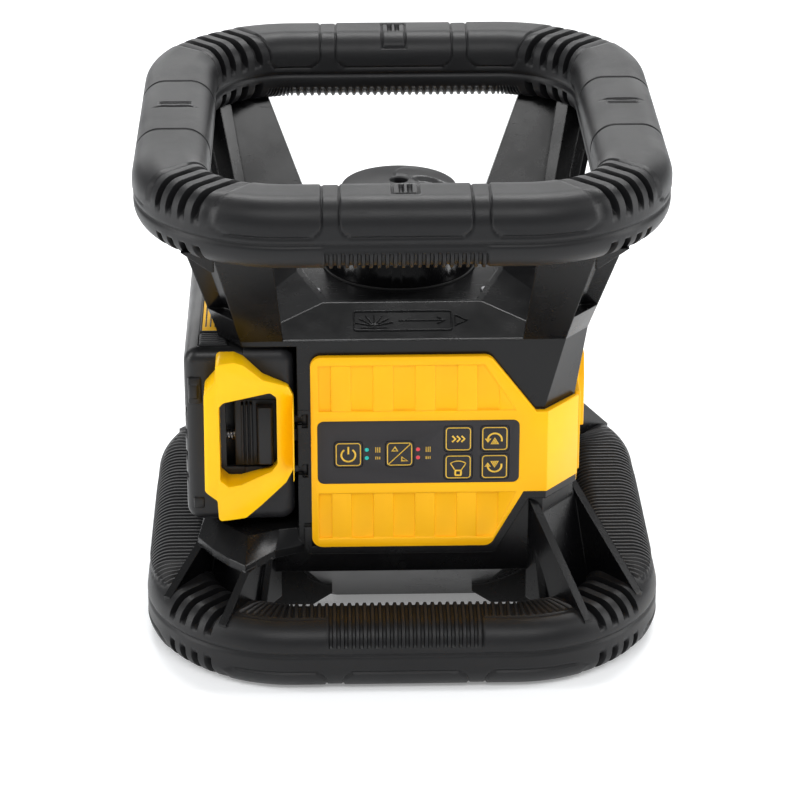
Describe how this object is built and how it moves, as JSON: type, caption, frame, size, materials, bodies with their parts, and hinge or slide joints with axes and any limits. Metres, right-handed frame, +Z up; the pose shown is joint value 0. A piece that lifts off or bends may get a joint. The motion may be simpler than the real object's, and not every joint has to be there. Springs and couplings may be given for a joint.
{
  "type": "rotating laser level",
  "caption": "Rotating laser level: roll cage with ribbed rubber rings, belt-driven head on a self-levelling gimbal, keypad panel and slide-in battery pack.",
  "frame": {"origin": "centre of the footprint, on the surface that the base ring stands on", "axes": "+Z up; -Y is the keypad side; +X is the operator's right; the battery pack is on -X"},
  "size_m": [0.24, 0.262, 0.237],
  "materials": {
    "housing_black": "glossy black glass-filled nylon with faint flow marks",
    "ring_rubber": "satin black over-moulded rubber, ribbed on the gripping side",
    "seal_rubber": "black rubber",
    "panel_yellow": "satin yellow ABS with a fine moulded texture",
    "guard_yellow": "semi-gloss yellow nylon",
    "label_yellow": "printed plastic label",
    "keypad_film": "dark grey membrane film with amber line symbols",
    "circuit_board": "green solder mask",
    "led_lens": "tinted clear lens",
    "bare_aluminium": "turned bare aluminium",
    "black_aluminium": "black anodised aluminium",
    "steel": "machined steel",
    "dock_plastic": "matt black plastic",
    "contact_brass": "plain brass",
    "optic_glass": "coated optical glass",
    "head_black": "matt black plastic with a fine spark-eroded texture",
    "pack_black": "satin black plastic",
    "pack_grey": "dark grey plastic",
    "cell_can": "shrink-wrapped cell can"
  },
  "bodies": {
    "housing": {"lower_housing": "housing_black", "upper_housing": "housing_black", "head_collar": "housing_black", "top_ring_tread": "ring_rubber", "top_ring_cap": "ring_rubber", "base_ring_tread": "ring_rubber", "base_ring_cap": "ring_rubber", "collar_gasket": "seal_rubber", "front_panel": "panel_yellow", "side_panel": "panel_yellow", "rear_panel": "panel_yellow", "keypad_overlay": "keypad_film", "keypad_board": "circuit_board", "main_board": "circuit_board", "status_leds": "led_lens", "tripod_bushing": "bare_aluminium", "rear_bushing": "bare_aluminium", "gimbal_chassis": "black_aluminium", "level_motors": "steel", "housing_screws": "steel", "battery_dock": "dock_plastic", "dock_terminals": "contact_brass"},
    "gimbal": {"gimbal_ring": "bare_aluminium", "outer_pins": "steel"},
    "laser_module": {"laser_barrel": "bare_aluminium", "inner_pins": "steel", "laser_diode": "contact_brass", "collimator_lens": "optic_glass", "level_sensor": "dock_plastic", "rotor_bearings": "steel", "drive_motor": "steel", "drive_belt": "seal_rubber"},
    "spinning_head": {"rotor_hub": "black_aluminium", "encoder_disc": "steel", "rotor_head": "head_black", "rotor_cap": "head_black", "pentaprism": "optic_glass", "beam_window": "optic_glass"},
    "belt_pulley": {"motor_pulley": "contact_brass"},
    "x_screw": {"x_level_screw": "steel"},
    "x_nut": {"x_level_nut": "contact_brass"},
    "y_screw": {"y_level_screw": "steel"},
    "y_nut": {"y_level_nut": "contact_brass"},
    "battery_pack": {"pack_outer_shell": "pack_black", "pack_inner_shell": "pack_black", "battery_cells": "cell_can", "cell_holder": "dock_plastic", "pack_board": "circuit_board", "pack_end_frame": "guard_yellow", "latch_spring": "steel", "pack_label": "label_yellow"},
    "latch": {"release_latch": "pack_black"},
    "gauge_key": {"gauge_button": "pack_grey"},
    "power_key": {"power_button": "keypad_film"},
    "slope_key": {"slope_button": "keypad_film"},
    "speed_key": {"speed_button": "keypad_film"},
    "scan_key": {"scan_button": "keypad_film"},
    "rotate_right_key": {"rotate_right_button": "keypad_film"},
    "rotate_left_key": {"rotate_left_button": "keypad_film"}
  },
  "joints": [
    {"name": "tilt_x", "type": "hinge", "parent": "housing", "child": "gimbal", "pos_m": [0, 0, 0.13], "axis": [1, 0, 0], "range_deg": [-5, 5]},
    {"name": "tilt_y", "type": "hinge", "parent": "gimbal", "child": "laser_module", "pos_m": [0, 0, 0.13], "axis": [0, 1, 0], "range_deg": [-5, 5]},
    {"name": "head_spin", "type": "hinge", "parent": "laser_module", "child": "spinning_head", "pos_m": [0, 0, 0.18], "axis": [0, 0, 1], "continuous": true},
    {"name": "belt_pulley_spin", "type": "hinge", "parent": "laser_module", "child": "belt_pulley", "pos_m": [0, -0.019, 0.16], "axis": [0, 0, 1], "continuous": true},
    {"name": "x_nut_slide", "type": "slide", "parent": "housing", "child": "x_nut", "axis": [0, 0, 1], "range_m": [-0.0047, 0.0047]},
    {"name": "y_nut_slide", "type": "slide", "parent": "housing", "child": "y_nut", "axis": [0, 0, 1], "range_m": [-0.0047, 0.0047]},
    {"name": "x_screw_turn", "type": "hinge", "parent": "housing", "child": "x_screw", "pos_m": [0, 0.052, 0.13], "axis": [0, 0, 1], "range_deg": [-830, 830]},
    {"name": "y_screw_turn", "type": "hinge", "parent": "housing", "child": "y_screw", "pos_m": [0.052, 0, 0.13], "axis": [0, 0, 1], "range_deg": [-830, 830]},
    {"name": "pack_slide", "type": "slide", "parent": "housing", "child": "battery_pack", "axis": [0, -1, 0], "range_m": [0, 0.12]},
    {"name": "latch_pull", "type": "slide", "parent": "battery_pack", "child": "latch", "axis": [-1, 0, 0], "range_m": [0, 0.0034], "stiffness_N_per_m": 1500, "springref_m": -0.001, "deforming": ["latch_spring"]},
    {"name": "gauge_press", "type": "slide", "parent": "battery_pack", "child": "gauge_key", "axis": [0, 0, -1], "range_m": [0, 0.0009], "stiffness_N_per_m": 1500, "springref_m": -0.0004},
    {"name": "power_press", "type": "slide", "parent": "housing", "child": "power_key", "axis": [0, 1, 0], "range_m": [0, 0.0005], "stiffness_N_per_m": 2000, "springref_m": -0.0002},
    {"name": "slope_press", "type": "slide", "parent": "housing", "child": "slope_key", "axis": [0, 1, 0], "range_m": [0, 0.0005], "stiffness_N_per_m": 2000, "springref_m": -0.0002},
    {"name": "speed_press", "type": "slide", "parent": "housing", "child": "speed_key", "axis": [0, 1, 0], "range_m": [0, 0.0005], "stiffness_N_per_m": 2000, "springref_m": -0.0002},
    {"name": "scan_press", "type": "slide", "parent": "housing", "child": "scan_key", "axis": [0, 1, 0], "range_m": [0, 0.0005], "stiffness_N_per_m": 2000, "springref_m": -0.0002},
    {"name": "rotate_right_press", "type": "slide", "parent": "housing", "child": "rotate_right_key", "axis": [0, 1, 0], "range_m": [0, 0.0005], "stiffness_N_per_m": 2000, "springref_m": -0.0002},
    {"name": "rotate_left_press", "type": "slide", "parent": "housing", "child": "rotate_left_key", "axis": [0, 1, 0], "range_m": [0, 0.0005], "stiffness_N_per_m": 2000, "springref_m": -0.0002}
  ],
  "couplings": [
    {"joint": "belt_pulley_spin", "follows": "head_spin", "ratio": 5.3333},
    {"joint": "x_nut_slide", "follows": "tilt_x", "m_per_rad": 0.052},
    {"joint": "y_nut_slide", "follows": "tilt_y", "m_per_rad": -0.052},
    {"joint": "x_screw_turn", "follows": "tilt_x", "ratio": 163.36},
    {"joint": "y_screw_turn", "follows": "tilt_y", "ratio": -163.36}
  ]
}
